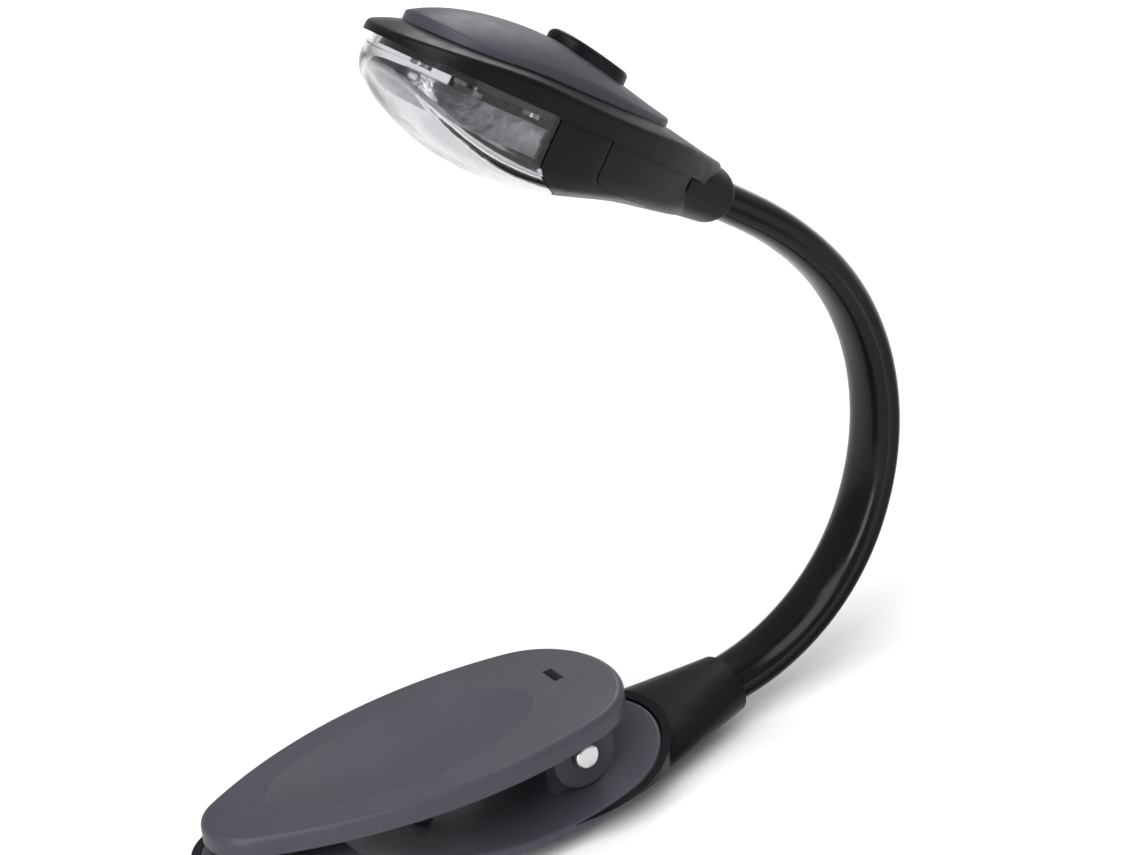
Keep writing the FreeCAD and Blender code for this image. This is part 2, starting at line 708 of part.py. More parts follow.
def battery_parts():
    x, low = D["cell_centre"], D["cell_low"]
    cell = drum("cell_can", D["cell_radius"], low + 0.35, low + D["cell_thick"], x, 0)
    step = drum("cell_cap", D["cell_radius"] - 1.1, low, low + 0.5, x, 0)
    finish(fused("cell_made", [cell, step]), "coin_cell", HEAD)
    ring = drum("holder_ring", D["cell_radius"] + 0.75, -3.1, D["board_low"], x, 0)
    room = drum("holder_room", D["cell_radius"] + 0.15, -5, 2, x, 0)
    window = box("holder_window", (0, -2.5, -5), (x - 5, 2.5, 2))
    finish(cut_all("holder_made", ring, [room, window]), "cell_holder", HEAD)
    strip = box("plus_strip", (x - 5, -1.5, -0.45), (x + 5, 1.5, -0.2))
    legs = [box(f"plus_leg_{i}", (x + a, -1.5, -0.3), (x + a + 0.5, 1.5, D["board_low"]))
            for i, a in enumerate((-5, 4.5))]
    finish(fused("plus_made", [strip] + legs), "contact_plus", HEAD)
    blade = box("minus_blade", (x - 11.2, -1.5, low - 0.25), (x - 3, 1.5, low - 0.02))
    riser = box("minus_riser", (x - 11.2, -1.5, low - 0.25), (x - 10.95, 1.5, D["board_low"]))
    finish(fused("minus_made", [blade, riser]), "contact_minus", HEAD)


# ---------------------------------------------------------------- neck

def facing(point, angle):
    """Placement that turns the drawing's X along a direction in the symmetry plane."""
    x = along(angle)
    z = V(-x.z, 0, x.x)
    return FreeCAD.Placement(point, FreeCAD.Rotation(x, V(0, 1, 0), z, "XZY"))


def sleeve_section(sketch):
    neck_profile(sketch)
    for y, radius in ((0, D["core_radius"]), (D["lead_offset"], D["lead_radius"]),
                      (-D["lead_offset"], D["lead_radius"])):
        draw_circle(sketch, y, 0, radius + 0.05)


def groove_section(sketch):
    for side in (-1, 1):
        draw_circle(sketch, side * (D["neck_wide"] * 0.5 + 0.1), 0, D["groove_radius"])


def core_section(sketch):
    draw_circle(sketch, 0, 0, D["core_radius"])
    for side in (-1, 1):
        draw_circle(sketch, side * D["lead_offset"], 0, D["lead_radius"])


def swept(body, name, section, bend, cut=False):
    """Turn a cross-section through a link's bend about an axis beside it."""
    sketch = sketch_in(body, name, "YZ_Plane")
    section(sketch)
    level = NECK_LINK / math.radians(bend)
    sketch.addGeometry(Part.LineSegment(V(-5, level, 0), V(5, level, 0)), True)
    feature = turned(body, sketch, cut)
    return feature


def link(number):
    point, angle = JOINTS[number - 1]
    bend = NECK_BENDS[number - 1]
    for node, section, trim in ((f"neck_sleeve_{number}", sleeve_section, 0.2),
                                (f"neck_core_{number}", core_section, 3.2)):
        body = new_body(node + "_link")
        made = swept(body, node + "_section", section, bend)
        made.Angle = bend - 2 * trim
        made.Reversed = True
        if section is sleeve_section:
            groove = swept(body, node + "_grooves", groove_section, bend, cut=True)
            groove.Angle = bend
            groove.Reversed = True
        start = V(0, 0, NECK_LINK / math.radians(bend))
        turn = FreeCAD.Placement(V(), FreeCAD.Rotation(V(0, 1, 0), -trim), start)
        doc.recompute()
        finish(body, node, facing(point, angle).multiply(turn))


def stub(node_number, point, angle, low, high):
    """Straight end of the neck, held in a socket."""
    for node, section in ((f"neck_sleeve_{node_number}", sleeve_section),
                          (f"neck_core_{node_number}", core_section)):
        body = new_body(node + "_end")
        inset = 0.8 if section is core_section else 0.05
        start, stop = (low, high - inset) if low < 0 else (low + inset, high)
        sketch = sketch_in(body, node + "_section", "YZ_Plane", start)
        section(sketch)
        pad(body, sketch, stop - start)
        if section is sleeve_section:
            grooves = sketch_in(body, node + "_grooves", "YZ_Plane", start)
            groove_section(grooves)
            pad(body, grooves, stop - start, cut=True, back=True)
        doc.recompute()
        finish(body, node, facing(point, angle))


def neck():
    stub(0, JOINTS[0][0], JOINTS[0][1], -STUB, 0)
    for number in range(1, 7):
        link(number)
    stub(7, JOINTS[-1][0], JOINTS[-1][1], 0, STUB)


# ---------------------------------------------------------------- clip

def jaw_egg(name, tip, rear, tip_radius, rear_radius, side_radius, grow, low, high):
    grow = as_size(grow)

    def draw(sketch):
        draw_egg(sketch, tip - grow, rear + grow, tip_radius + grow, rear_radius + grow, side_radius + grow)

    return prism(name, draw, low, high)


def plate_egg(name, grow, low, high):
    return jaw_egg(name, D["plate_tip"], D["plate_rear"], as_size(7.6), as_size(13.3),
                   D["plate_side_radius"], grow, low, high)


def draw_valley(sketch, upper, lower):
    """Side view of a dished sheet: flat under the jaw tip, then one long arc; shifts in Z."""
    start, mid, end = D["valley_start"].value, D["valley_mid"].value, D["valley_end"].value
    heights = (D["plate_top"].value, D["valley_mid_z"].value, D["valley_end_z"].value)

    def arc(shift):
        spots = [V(x, z + shift, 0) for x, z in zip((start, mid, end), heights)]
        return Part.Arc(*spots)

    top = heights[0]
    corners = [V(start, top + upper, 0), V(-14, top + upper, 0), V(-14, top + lower, 0),
               V(start, top + lower, 0)]
    for a, b in zip(corners, corners[1:]):
        sketch.addGeometry(Part.LineSegment(a, b), False)
    sketch.addGeometry(arc(lower), False)
    ends = [V(end, heights[2] + lower, 0), V(80, heights[2] + lower, 0), V(80, heights[2] + upper, 0),
            V(end, heights[2] + upper, 0)]
    for a, b in zip(ends, ends[1:]):
        sketch.addGeometry(Part.LineSegment(a, b), False)
    sketch.addGeometry(arc(upper), False)


def lug(name, inner, outer, radius, reach):
    """One hinge ear on +Y and its mirror: a round boss on the pin axis and a web to the sheet."""
    ears = []
    for side, (low, high) in enumerate(((inner, outer), (-outer, -inner))):
        boss = drum(f"{name}_boss_{side}", radius, low, high, D["pin_x"], D["pin_z"], axis="Y")
        bottom, top = (reach, D["pin_z"]) if as_size(reach).value < D["pin_z"].value else (D["pin_z"], reach)
        web = box(f"{name}_web_{side}", (D["pin_x"] - radius, low, bottom), (D["pin_x"] + radius, high, top))
        ears += [boss, web]
    return ears


def pin_bore(name):
    return drum(name, D["pin_radius"] + D["running_gap"], -12, 12, D["pin_x"], D["pin_z"], axis="Y")


def upper_jaw():
    body = jaw_egg("paddle", D["paddle_tip"], D["paddle_rear"], D["paddle_tip_radius"],
                   D["paddle_rear_radius"], D["paddle_side_radius"], 0,
                   D["paddle_top"] - D["paddle_thick"], D["paddle_top"])
    slab = body.Tip
    top_edges = [f"Edge{i}" for i, edge in enumerate(slab.Shape.Edges, start=1)
                 if edge.BoundBox.ZMin > D["paddle_top"].value - 0.01]
    fillet = body.newObject("PartDesign::Fillet", "paddle_soft")
    fillet.Base = (slab, top_edges)
    bind(fillet, "Radius", D["paddle_round"])
    body.Tip = fillet
    doc.recompute()
    dish = sketch_in(body, "dish", "XZ_Plane")
    reach = 24.0
    floor = D["paddle_top"].value - D["dish_depth"].value
    centre = V(D["dish_centre"].value, floor + D["dish_long_radius"].value, 0)
    rise = D["dish_long_radius"].value - math.sqrt(D["dish_long_radius"].value**2 - reach**2)
    left, right = V(centre.x - reach, floor + rise, 0), V(centre.x + reach, floor + rise, 0)
    axis = floor + D["dish_cross_radius"].value
    dish.addGeometry(Part.Arc(left, V(centre.x, floor, 0), right), False)
    corners = [right, V(right.x, axis, 0), V(left.x, axis, 0), left]
    for a, b in zip(corners, corners[1:]):
        dish.addGeometry(Part.LineSegment(a, b), False)
    dish.addGeometry(Part.LineSegment(corners[2], corners[1]), True)
    turned(body, dish, cut=True)
    doc.recompute()
    slot = sketch_in(body, "spring_slot", "XY_Plane", D["paddle_top"] - 4)
    x, half_x = D["slot_centre"], D["slot_width"] * 0.5
    low, high = D["slot_side"] - D["slot_length"] * 0.5, D["slot_side"] + D["slot_length"] * 0.5
    draw_polygon(slot, [(x - half_x, low), (x + half_x, low), (x + half_x, high), (x - half_x, high)])
    pad(body, slot, 10, cut=True, both_ways=True)
    doc.recompute()
    ears = lug("paddle_lug", D["paddle_lug_inner"], D["paddle_lug_outer"], D["paddle_lug_radius"],
               D["paddle_top"] - 1.5)
    whole = fused("paddle_whole", [body] + ears)
    finish(combined("Cut", "upper_jaw_made", whole, pin_bore("paddle_pin_bore")), "upper_jaw")


def jaw_pad(node, low, high):
    def draw(sketch):
        draw_stadium(sketch, 0, 0, D["pad_long"], D["pad_wide"])

    finish(prism(node + "_made", draw, low, high), node)


BASE_SCREWS = (24.0, 57.5)


def lower_jaw():
    def draw(sketch):
        draw_valley(sketch, 0, -D["plate_thick"].value)

    sheet_form = across("plate_sheet", draw, 60)
    plate = combined("Common", "plate", sheet_form, plate_egg("plate_plan", 0, -20, 4))
    soft = rounded("plate_soft", plate, 0.5, lambda edge: edge.Length > 20 and edge.BoundBox.YLength < 30)
    ears = lug("base_lug", D["base_lug_inner"], D["base_lug_outer"], D["base_lug_radius"], -9.3)
    bosses = [drum(f"plate_boss_{i}", 2.3, floor, floor + 2.2, x, 0)
              for i, (x, floor) in enumerate(zip(BASE_SCREWS, (-8.2, -9.4)))]
    whole = fused("plate_whole", [soft] + ears + bosses)
    holes = [drum(f"plate_screw_{i}", D["screw_radius"] + 0.05, -12, -7.6, x, 0)
             for i, x in enumerate(BASE_SCREWS)]
    finish(cut_all("lower_jaw_made", whole, [pin_bore("plate_pin_bore")] + holes), "lower_jaw")


def funnel():
    """Oval tube that gathers the base shell into the neck socket."""
    ends = []
    stops = (("funnel_root", D["funnel_start"], D["funnel_start_wide"], D["funnel_start_high"],
              D["funnel_start_z"]),
             ("funnel_mid", as_size(70.0), as_size(8.0), as_size(3.7), as_size(-7.55)),
             ("funnel_mouth", D["socket_end"], D["socket_wide"], D["socket_high"], D["socket_z"]))
    for name, x, wide, high, z in stops:
        sketch = doc.addObject("Sketcher::SketchObject", name)
        turn = FreeCAD.Rotation(V(0, 1, 0), V(0, 0, 1), V(1, 0, 0), "ZXY")
        sketch.Placement = FreeCAD.Placement(V(x.value, 0, z.value), turn)
        draw_ellipse(sketch, 0, 0, wide, high)
        ends.append(sketch)
    loft = doc.addObject("Part::Loft", "funnel")
    loft.Sections = ends
    loft.Solid = True
    doc.recompute()
    return loft


def hull_form(name, shift):
    return turned_form(name, SHELL_LINE, shift, D["hull_axis"])


def base_shell():
    wall, seam = D["shell_wall"], D["seam"]

    def draw(sketch):
        draw_valley(sketch, -0.1, -20)

    def draw_room(sketch):
        draw_valley(sketch, 5, -D["plate_thick"].value - 0.2)

    outer_plan = plate_egg("shell_plan", seam + wall, -20, 4)
    outer = combined("Common", "shell_outer_a", outer_plan, hull_form("shell_under", 0))
    outer = combined("Common", "shell_outer", outer, across("shell_over", draw, 60))
    whole = fused("shell_solid", [outer, funnel()])
    cavity = combined("Common", "shell_cavity", plate_egg("cavity_plan", seam, -20, 4),
                      hull_form("cavity_under", D["shell_floor"].value))
    plate_room = combined("Common", "plate_room", plate_egg("plate_room_plan", seam, -20, 4),
                          across("plate_room_side", draw_room, 60))
    bore = neck_bore("base_bore", -13, 1)
    bore.Placement = facing(JOINTS[0][0], JOINTS[0][1])
    holes = []
    for i, (x, z) in enumerate(zip(BASE_SCREWS, (-10.25, -11.35))):
        holes.append(drum(f"shell_screw_{i}", D["screw_radius"] + 0.1, -14, -8, x, 0))
        holes.append(drum(f"shell_sink_{i}", D["screw_head"] + 0.2, -14, z + 0.75, x, 0))
    finish(cut_all("base_shell_made", whole, [cavity, plate_room, bore] + holes), "base_shell")


def base_screws():
    screws = []
    for i, (x, z) in enumerate(zip(BASE_SCREWS, (-10.25, -11.35))):
        head = drum(f"base_screw_head_{i}", D["screw_head"], z - 0.1, z + 0.7, x, 0)
        shank = drum(f"base_screw_shank_{i}", D["screw_radius"], z + 0.4, z + 2.4, x, 0)
        screws.append(fused(f"base_screw_{i}", [head, shank]))
    finish(grouped("base_screws_made", screws), "base_screws")


def hinge_pin():
    x, z, reach = D["pin_x"], D["pin_z"], D["pin_reach"]
    shaft = drum("pin_shaft", D["pin_radius"], -reach, reach, x, z, axis="Y")
    head = drum("pin_head", D["pin_head_radius"], -reach - 0.3, -reach + 0.6, x, z, axis="Y")
    soft = rounded("pin_head_soft", head, 0.55,
                   lambda edge: edge.BoundBox.YMax < -reach.value - 0.2 and edge.BoundBox.XLength > 1)
    finish(fused("pin_made", [shaft, soft]), "hinge_pin")


def pin_nut():
    x, z = D["pin_x"], D["pin_z"]
    disc = drum("nut_disc", 2.6, 8.85, 9.35, x, z, axis="Y")
    hole = drum("nut_hole", D["pin_radius"] + 0.02, 8, 10, x, z, axis="Y")
    finish(combined("Cut", "nut_made", disc, hole), "pin_nut")


def torsion_spring():
    helix = doc.addObject("Part::Helix", "coil_line")
    bind(helix, "Pitch", D["coil_pitch"])
    bind(helix, "Height", D["coil_height"])
    bind(helix, "Radius", D["coil_radius"])
    helix.LocalCoord = "Left-handed"
    ring = doc.addObject("Part::Circle", "coil_wire")
    bind(ring, "Radius", D["wire_radius"])
    ring.Placement = FreeCAD.Placement(V(D["coil_radius"].value, 0, 0), FreeCAD.Rotation(V(1, 0, 0), 90))
    coil = doc.addObject("Part::Sweep", "coil")
    coil.Sections = [ring]
    coil.Spine = (helix, ["Edge1"])
    coil.Solid = True
    coil.Frenet = True
    coil.Placement = FreeCAD.Placement(V(D["pin_x"].value, -D["coil_height"].value / 2, D["pin_z"].value),
                                       FreeCAD.Rotation(V(1, 0, 0), -90))
    half = D["coil_height"] * 0.5
    reach_up = drum("spring_leg_up", D["wire_radius"], D["pin_z"], D["paddle_top"] - 1.4,
                    D["pin_x"] + D["coil_radius"], half)
    reach_down = drum("spring_leg_down", D["wire_radius"], -7.6, D["pin_z"],
                      D["pin_x"] + D["coil_radius"], -half)
    finish(fused("spring_made", [coil, reach_up, reach_down]), "torsion_spring")


# ---------------------------------------------------------------- build, check and export

def build():
    head_shell()
    dome_cover()
    switch_button()
    switch_housing()
    circuit_board()
    board_screws()
    chip_parts()
    led_bulb()
    led_leads()
    reflector()
    lens()
    battery_door()
    battery_parts()
    neck()
    upper_jaw()
    jaw_pad("upper_pad", D["jaw_gap"], D["paddle_top"] - D["paddle_thick"])
    jaw_pad("lower_pad", -D["pad_thick"], 0)
    lower_jaw()
    base_shell()
    base_screws()
    hinge_pin()
    pin_nut()
    torsion_spring()
    doc.recompute()


def check():
    for thing in doc.Objects:
        wrong = [state for state in thing.State if state in ("Invalid", "Error")]
        if wrong:
            raise RuntimeError(f"{thing.Name} is {wrong}")
        shape = getattr(thing, "Shape", None)
        if thing in FINISHED and (shape is None or shape.isNull() or not shape.isValid()):
            raise RuntimeError(f"{thing.Label} has no valid shape")


def export():
    os.makedirs("parts", exist_ok=True)
    for thing in FINISHED:
        thing.Shape.exportStep(f"parts/{thing.Label}.step")
        print(thing.Label, len(thing.Shape.Solids), round(thing.Shape.Volume, 2))


build()
check()
export()
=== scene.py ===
import json
import math

import bmesh
import bpy
from mathutils import Matrix, Vector


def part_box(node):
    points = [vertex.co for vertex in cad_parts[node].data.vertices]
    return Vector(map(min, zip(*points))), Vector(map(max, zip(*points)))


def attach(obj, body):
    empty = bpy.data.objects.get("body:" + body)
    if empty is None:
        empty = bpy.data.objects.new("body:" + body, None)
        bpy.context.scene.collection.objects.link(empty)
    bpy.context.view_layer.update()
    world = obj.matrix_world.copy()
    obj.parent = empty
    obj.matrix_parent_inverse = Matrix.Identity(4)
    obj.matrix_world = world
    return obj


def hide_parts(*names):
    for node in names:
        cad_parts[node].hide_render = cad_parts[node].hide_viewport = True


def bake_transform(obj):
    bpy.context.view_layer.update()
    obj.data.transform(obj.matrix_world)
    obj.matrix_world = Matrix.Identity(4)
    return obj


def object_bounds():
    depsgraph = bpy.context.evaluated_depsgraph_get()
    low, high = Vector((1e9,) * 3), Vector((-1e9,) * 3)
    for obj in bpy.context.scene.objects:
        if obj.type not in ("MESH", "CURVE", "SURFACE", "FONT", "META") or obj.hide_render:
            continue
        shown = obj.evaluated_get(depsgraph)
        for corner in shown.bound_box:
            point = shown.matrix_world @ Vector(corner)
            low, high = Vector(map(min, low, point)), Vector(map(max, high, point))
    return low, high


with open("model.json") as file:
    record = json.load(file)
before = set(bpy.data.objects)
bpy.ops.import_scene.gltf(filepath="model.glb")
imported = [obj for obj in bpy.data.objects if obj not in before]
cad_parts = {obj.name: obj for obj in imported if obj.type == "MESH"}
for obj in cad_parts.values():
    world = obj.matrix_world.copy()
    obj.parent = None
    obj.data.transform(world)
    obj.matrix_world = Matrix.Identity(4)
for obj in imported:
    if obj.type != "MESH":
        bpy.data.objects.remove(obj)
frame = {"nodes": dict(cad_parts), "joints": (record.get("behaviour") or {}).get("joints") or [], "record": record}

MM = 0.001
MICRON = 0.001 * MM
CAD_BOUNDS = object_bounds()
SCENE = bpy.context.scene

# ------------------------------------------------------------------ materials

PATTERN_LOW = 0.3
PATTERN_HIGH = 0.7

class Nodes:
    """Short way to put together a material's node graph."""

    def __init__(self, name):
        self.material = bpy.data.materials.new(name)
        self.material.use_nodes = True
        self.tree = self.material.node_tree
        self.tree.nodes.clear()
        self.output = self.add("ShaderNodeOutputMaterial")
        self.shader = self.add("ShaderNodeBsdfPrincipled")
        self.link(self.shader, "BSDF", self.output, "Surface")
        self.place = self.add("ShaderNodeTexCoord")

    def add(self, kind, **values):
        node = self.tree.nodes.new(kind)
        for key, value in values.items():
            setattr(node, key, value)
        return node

    def link(self, source, output, target, entry):
        self.tree.links.new(source.outputs[output], target.inputs[entry])

    def noise(self, scale, detail=4.0, rough=0.55):
        node = self.add("ShaderNodeTexNoise")
        node.inputs["Scale"].default_value = scale
        node.inputs["Detail"].default_value = detail
        node.inputs["Roughness"].default_value = rough
        self.link(self.place, "Object", node, "Vector")
        return node

    def tint(self, pattern, first, second):
        """Colour that wanders between two shades with a pattern."""
        ramp = self.add("ShaderNodeValToRGB")
        ramp.color_ramp.elements[0].position = PATTERN_LOW
        ramp.color_ramp.elements[0].color = (*first, 1)
        ramp.color_ramp.elements[1].position = PATTERN_HIGH
        ramp.color_ramp.elements[1].color = (*second, 1)
        self.link(pattern, "Fac", ramp, "Fac")
        self.link(ramp, "Color", self.shader, "Base Color")

    def gloss(self, pattern, low, high):
        """Roughness that wanders between two values with a pattern."""
        node = self.add("ShaderNodeMapRange")
        node.inputs["From Min"].default_value = PATTERN_LOW
        node.inputs["From Max"].default_value = PATTERN_HIGH
        node.inputs["To Min"].default_value = low
        node.inputs["To Max"].default_value = high
        self.link(pattern, "Fac", node, "Value")
        self.link(node, "Result", self.shader, "Roughness")

    def bump(self, pattern, strength, distance):
        node = self.add("ShaderNodeBump")
        node.inputs["Strength"].default_value = strength
        node.inputs["Distance"].default_value = distance
        self.link(pattern, "Fac", node, "Height")
        self.link(node, "Normal", self.shader, "Normal")

    def set(self, **values):
        for key, value in values.items():
            self.shader.inputs[key.replace("_", " ")].default_value = value


def moulded(name, dark, light, rough, grain=0.25, shine=0.3):
    """Moulded plastic: slight colour mottling, uneven gloss and a fine spark-eroded grain."""
    made = Nodes(name)
    made.tint(made.noise(90.0), dark, light)
    made.gloss(made.noise(420.0, 6.0, 0.6), *rough)
    made.bump(made.noise(5200.0, 2.0, 0.5), grain, 40 * MICRON)
    made.set(IOR=1.5, Specular_IOR_Level=shine)
    return made.material


def metal(name, colour, rough):
    """Drawn or turned metal with faint streaks."""
    made = Nodes(name)
    streak = made.noise(900.0, 3.0, 0.6)
    paler = tuple(min(1.0, c * 1.12) for c in colour)
    made.tint(streak, colour, paler)
    made.gloss(streak, *rough)
    made.bump(streak, 0.08, 30 * MICRON)
    made.set(Metallic=1.0)
    return made.material


def clear_plastic():
    """Clear moulding with a faint smoky tint, very slightly uneven."""
    made = Nodes("clear_lens")
    wave = made.noise(160.0, 3.0, 0.5)
    made.tint(wave, (0.70, 0.69, 0.71), (0.82, 0.81, 0.83))
    made.gloss(wave, 0.03, 0.10)
    made.bump(wave, 0.12, 200 * MICRON)
    made.set(Transmission_Weight=1.0, IOR=1.42)
    return made.material


def reflector_plating():
    """Dull bright plating over an uneven, pebbled moulding."""
    made = Nodes("chrome")
    pebble = made.noise(340.0, 3.0, 0.6)
    made.tint(pebble, (0.10, 0.10, 0.11), (0.42, 0.41, 0.43))
    made.gloss(pebble, 0.10, 0.30)
    made.bump(pebble, 0.55, 600 * MICRON)
    made.set(Metallic=1.0)
    return made.material


def lamp_epoxy():
    """Milky clear resin of the lamp."""
    made = Nodes("led_epoxy")
    cloud = made.noise(700.0)
    made.tint(cloud, (0.80, 0.80, 0.70), (0.95, 0.94, 0.86))
    made.gloss(cloud, 0.08, 0.18)
    made.set(Transmission_Weight=0.55, IOR=1.5)
    return made.material


def pale_floor():
    made = Nodes("pale_floor")
    cloud = made.noise(6.0)
    made.tint(cloud, (0.80, 0.80, 0.81), (0.83, 0.83, 0.83))
    made.gloss(cloud, 0.65, 0.8)
    return made.material


BLACK = ((0.0035, 0.0035, 0.0045), (0.0060, 0.0060, 0.0075))
SLATE = ((0.043, 0.042, 0.054), (0.050, 0.049, 0.063))
NECK_BLACK = ((0.003, 0.003, 0.004), (0.005, 0.005, 0.006))
BOARD = ((0.006, 0.012, 0.009), (0.010, 0.018, 0.013))
PAD_BLACK = ((0.012, 0.012, 0.013), (0.020, 0.020, 0.022))
SLOT_LOOKS = {
    "black_plastic": moulded("black_plastic", *BLACK, (0.30, 0.42), shine=0.12),
    "slate_plastic": moulded("slate_plastic", *SLATE, (0.38, 0.50), shine=0.22),
    "neck_rubber": moulded("neck_rubber", *NECK_BLACK, (0.16, 0.24), grain=0.10, shine=0.16),
    "neck_wire": metal("neck_wire", (0.45, 0.44, 0.42), (0.25, 0.40)),
    "steel": metal("steel", (0.56, 0.56, 0.57), (0.14, 0.28)),
    "chrome": reflector_plating(),
    "clear_lens": clear_plastic(),
    "led_epoxy": lamp_epoxy(),
    "board_green": moulded("board_green", *BOARD, (0.30, 0.45)),
    "brass": metal("brass", (0.66, 0.49, 0.22), (0.18, 0.32)),
    "pad_rubber": moulded("pad_rubber", *PAD_BLACK, (0.70, 0.85), grain=0.5),
}
NODE_SLOT = {s["node"]: s["material_slot"] for s in frame["record"]["subparts"]}
NODE_BODY = {n: b for b, ns in frame["record"]["behaviour"]["bodies"].items() for n in ns}


def dress_cad_nodes():
    for node, thing in frame["nodes"].items():
        thing.data.materials.clear()
        thing.data.materials.append(SLOT_LOOKS[NODE_SLOT[node]])


# ------------------------------------------------------------------ smooth skins over the CAD shapes

SKINNED = (
    "head_shell", "dome_cover", "switch_button", "reflector", "lens", "battery_door", "led_bulb",
    "upper_jaw", "upper_pad", "lower_pad", "lower_jaw", "base_shell", "hinge_pin", "pin_nut",
    "coin_cell", "base_screws",
)
WELD_REACH = 2 * MICRON
SHARP_ANGLE = math.radians(32.0)


def smooth_skin(node):
    """The CAD node's own surface, welded and shaded smooth except at real edges."""
    mesh = frame["nodes"][node].data.copy()
    mesh.name = node + "_skin"
    work = bmesh.new()
    work.from_mesh(mesh)
    bmesh.ops.remove_doubles(work, verts=work.verts, dist=WELD_REACH)
    for face in work.faces:
        face.smooth = True
    for edge in work.edges:
        edge.smooth = len(edge.link_faces) == 2 and edge.calc_face_angle(0.0) < SHARP_ANGLE
    work.to_mesh(mesh)
    work.free()
    skin = bpy.data.objects.new(node + "_skin", mesh)
    SCENE.collection.objects.link(skin)
    even = skin.modifiers.new("even_shading", "WEIGHTED_NORMAL")
    even.keep_sharp = True
    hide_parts(node)
    return skin


def winding_spring():
    """The coil's own surface, welded and shaded smooth and left where it stands; it follows no body."""
    skin = smooth_skin("torsion_spring")
    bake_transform(skin)


# ------------------------------------------------------------------ flexible neck

NECK_HALF_WIDE = 4.6 * MM
NECK_HALF_THICK = 2.8 * MM
GROOVE_DEPTH = 0.55 * MM
GROOVE_SPREAD = 0.16
RING_POINTS = 72
RINGS_PER_PIECE = 26
STUB_LENGTH = 9.9 * MM
STUB_STEPS = 12
ARC_STEPS = 24
SECTION_POWER = 0.9


def neck_hinges():
    """The neck's bending places in order, from the base to the head."""
    found = [j for j in frame["joints"] if j["name"].startswith("neck_")]
    return sorted(found, key=lambda j: int(j["name"].rsplit("_", 1)[1]))


HINGES = neck_hinges()
PLACES = [Vector(j["pos_m"]) for j in HINGES]


def stub_direction(node, joint):
    """Which way a straight end of the neck runs, from its joint towards its far end."""
    low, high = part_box(node)
    middle = (low + high) / 2
    return (middle - joint).normalized()


def arc_between(first, start_way, second):
    """Points of the arc that leaves first along start_way and ends at second, and its end direction."""
    chord = second - first
    turn = start_way.angle(chord)
    side = start_way.cross(chord).normalized()
    points = []
    radius = chord.length / (2 * math.sin(turn))
    centre = first + Matrix.Rotation(math.pi / 2, 3, side) @ start_way * radius
    arm = first - centre
    for i in range(ARC_STEPS + 1):
        points.append(centre + Matrix.Rotation(2 * turn * i / ARC_STEPS, 3, side) @ arm)
    return points, Matrix.Rotation(2 * turn, 3, side) @ start_way


def neck_line():
    """The neck's whole centreline as points, with the distance along it of every bending place."""
    back = stub_direction("neck_sleeve_0", PLACES[0])
    way = -back
    points = [PLACES[0] + back * STUB_LENGTH * (1 - i / STUB_STEPS) for i in range(STUB_STEPS)]
    marks = [STUB_LENGTH]
    for first, second in zip(PLACES, PLACES[1:]):
        arc, way = arc_between(first, way, second)
        points += arc[:-1]
        marks.append(marks[-1] + sum((b - a).length for a, b in zip(arc, arc[1:])))
    points += [PLACES[-1] + way * STUB_LENGTH * i / STUB_STEPS for i in range(STUB_STEPS + 1)]
    return points, marks


LINE, MARKS = neck_line()
SPANS = [0.0]
for before, after in zip(LINE, LINE[1:]):
    SPANS.append(SPANS[-1] + (after - before).length)


def at_distance(distance):
    """Point and direction on the centreline."""
    distance = min(max(distance, 0.0), SPANS[-1])
    i = next(n for n in range(1, len(SPANS)) if SPANS[n] >= distance - 1e-9)
    share = (distance - SPANS[i - 1]) / (SPANS[i] - SPANS[i - 1])
    before = LINE[max(i - 2, 0)]
    after = LINE[min(i + 1, len(LINE) - 1)]
    return LINE[i - 1].lerp(LINE[i], share), (after - before).normalized()


def squared(share):
    """Pushes a sine or cosine outwards a little, keeping its sign."""
    return math.copysign(abs(share) ** SECTION_POWER, share)


def neck_ring(distance):
    """Slightly squared oval cross-section with one groove along each narrow side."""
    centre, way = at_distance(distance)
    side = Vector((0, 1, 0))
    lift = way.cross(side).normalized()
    ring = []
    for i in range(RING_POINTS):
        angle = 2 * math.pi * i / RING_POINTS
        across, up = math.cos(angle), math.sin(angle)
        groove = GROOVE_DEPTH * math.exp(-((up / GROOVE_SPREAD) ** 2))
        reach = (NECK_HALF_WIDE - groove) * squared(across)
        ring.append(centre + side * reach + lift * NECK_HALF_THICK * squared(up))
    return ring


def tube_normals(start, stop):
    """Outward directions that carry on evenly from one tube piece to the next."""
    found = []
    for r in range(RINGS_PER_PIECE + 1):
        distance = start + (stop - start) * r / RINGS_PER_PIECE
        ring, (_, way) = neck_ring(distance), at_distance(distance)
        for i in range(RING_POINTS):
            around = ring[(i + 1) % RING_POINTS] - ring[i - 1]
            found.append(around.cross(way).normalized())
    return found


def neck_piece(number, start, stop):
    rings = [neck_ring(start + (stop - start) * i / RINGS_PER_PIECE) for i in range(RINGS_PER_PIECE + 1)]
    points = [p for ring in rings for p in ring]
    faces = []
    for r in range(RINGS_PER_PIECE):
        for i in range(RING_POINTS):
            a, b = r * RING_POINTS + i, r * RING_POINTS + (i + 1) % RING_POINTS
            faces.append((a, b, b + RING_POINTS, a + RING_POINTS))
    mesh = bpy.data.meshes.new(f"neck_tube_{number}")
    mesh.from_pydata(points, [], faces)
    mesh.shade_smooth()
    mesh.normals_split_custom_set_from_vertices(tube_normals(start, stop))
    mesh.materials.append(SLOT_LOOKS["neck_rubber"])
    piece = bpy.data.objects.new(f"neck_tube_{number}", mesh)
    SCENE.collection.objects.link(piece)
    return piece


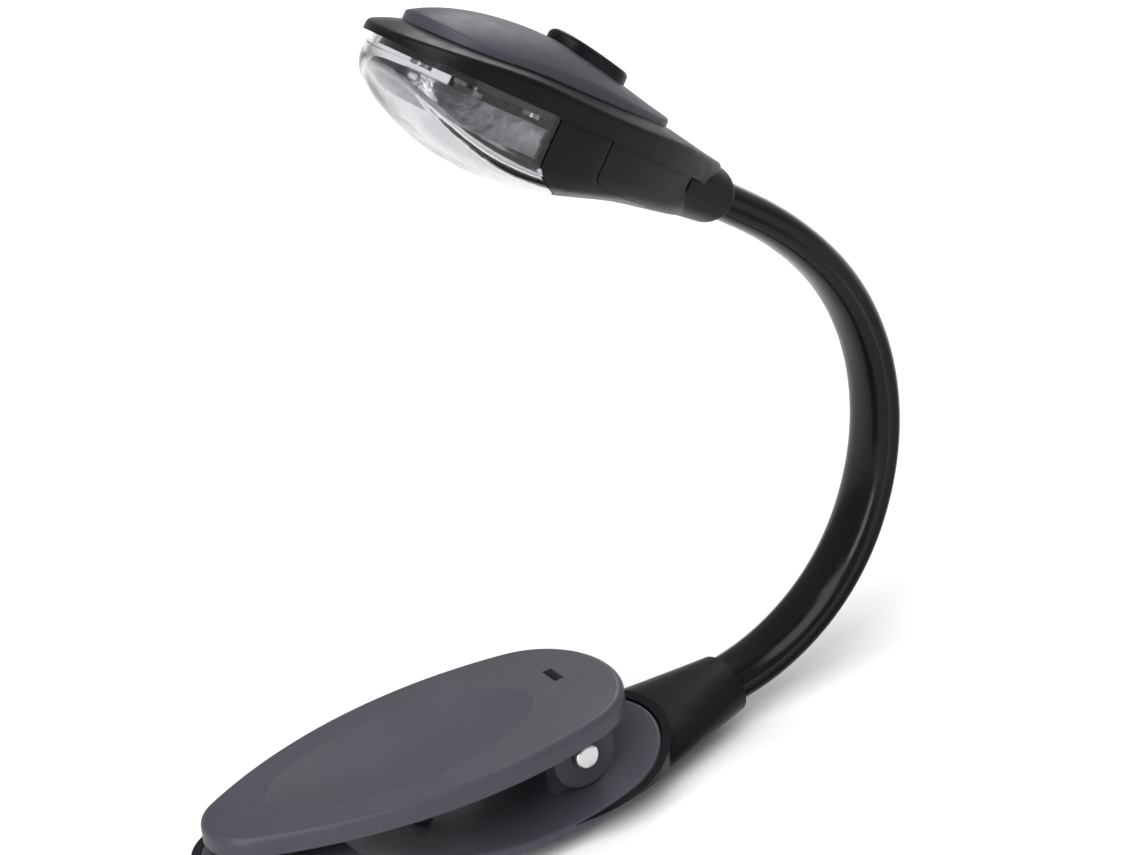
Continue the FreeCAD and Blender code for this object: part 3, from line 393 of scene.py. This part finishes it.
def bending_neck():
    """One tube piece round each bending place; each ends where its link no longer bends."""
    cuts = [0.0] + [(a + b) / 2 for a, b in zip(MARKS, MARKS[1:])] + [SPANS[-1]]
    for number, hinge in enumerate(HINGES):
        piece = neck_piece(number + 1, cuts[number], cuts[number + 1])
        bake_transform(piece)
        stands_for = [f"neck_sleeve_{number + 1}"]
        if number == 0:
            stands_for.append("neck_sleeve_0")
        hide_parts(*stands_for)


# ------------------------------------------------------------------ stage, light and camera

FLOOR_GAP = 0.2 * MM
FLOOR_HALF = 3.0


def floor():
    level = CAD_BOUNDS[0][2] - FLOOR_GAP
    mesh = bpy.data.meshes.new("floor")
    corners = [(FLOOR_HALF * x, FLOOR_HALF * y, level) for x, y in ((-1, -1), (1, -1), (1, 1), (-1, 1))]
    mesh.from_pydata(corners, [], [(0, 1, 2, 3)])
    mesh.materials.append(pale_floor())
    sheet = bpy.data.objects.new("floor", mesh)
    SCENE.collection.objects.link(sheet)


def softbox(name, place, aim, size, watts):
    light = bpy.data.lights.new(name, "AREA")
    light.shape = "RECTANGLE"
    light.size, light.size_y = size
    light.energy = watts
    box = bpy.data.objects.new(name, light)
    SCENE.collection.objects.link(box)
    box.location = place
    box.rotation_euler = (Vector(aim) - Vector(place)).to_track_quat("-Z", "Y").to_euler()


def lighting():
    world = bpy.data.worlds.new("studio")
    SCENE.world = world
    world.use_nodes = True
    sky = world.node_tree.nodes["Background"]
    sky.inputs["Color"].default_value = (1.0, 1.0, 1.0, 1)
    sky.inputs["Strength"].default_value = 0.42
    sun = bpy.data.lights.new("overhead", "SUN")
    sun.energy = 2.9
    sun.angle = math.radians(55)
    lamp = bpy.data.objects.new("overhead", sun)
    SCENE.collection.objects.link(lamp)
    lamp.rotation_euler = (math.radians(18), math.radians(-22), 0)
    aim = (0.08, 0.0, 0.04)
    softbox("window", (-0.42, -0.30, 0.20), aim, (0.16, 0.34), 1.6)
    softbox("rim", (0.50, 0.40, 0.42), aim, (0.25, 0.40), 1.6)


AIM = Vector((50.0, 2.0, 5.0)) * MM
CAMERA_RIGHT = Vector((0.8255, -0.5567, -0.0926))
CAMERA_UP = Vector((0.3169, 0.3214, 0.8923))
CAMERA_BACK = Vector((-0.4670, -0.7660, 0.4418))
CAMERA_REACH = 500.0 * MM
AIM_LEFT = 2.29 * MM
AIM_BELOW = 35.3 * MM
LENS = 110.5


def camera():
    made = bpy.data.cameras.new("camera")
    made.lens = LENS
    made.sensor_width = 36.0
    made.clip_start = 0.01
    view = bpy.data.objects.new("camera", made)
    SCENE.collection.objects.link(view)
    place = AIM + CAMERA_RIGHT * AIM_LEFT + CAMERA_UP * AIM_BELOW + CAMERA_BACK * CAMERA_REACH
    turn = Matrix((CAMERA_RIGHT, CAMERA_UP, CAMERA_BACK)).transposed()
    view.matrix_world = Matrix.Translation(place) @ turn.to_4x4()
    SCENE.camera = view


dress_cad_nodes()
for skinned in SKINNED:
    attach(smooth_skin(skinned), NODE_BODY[skinned])
winding_spring()
bending_neck()
floor()
lighting()
camera()
SCENE.view_settings.view_transform = "Standard"

bpy.context.view_layer.update()
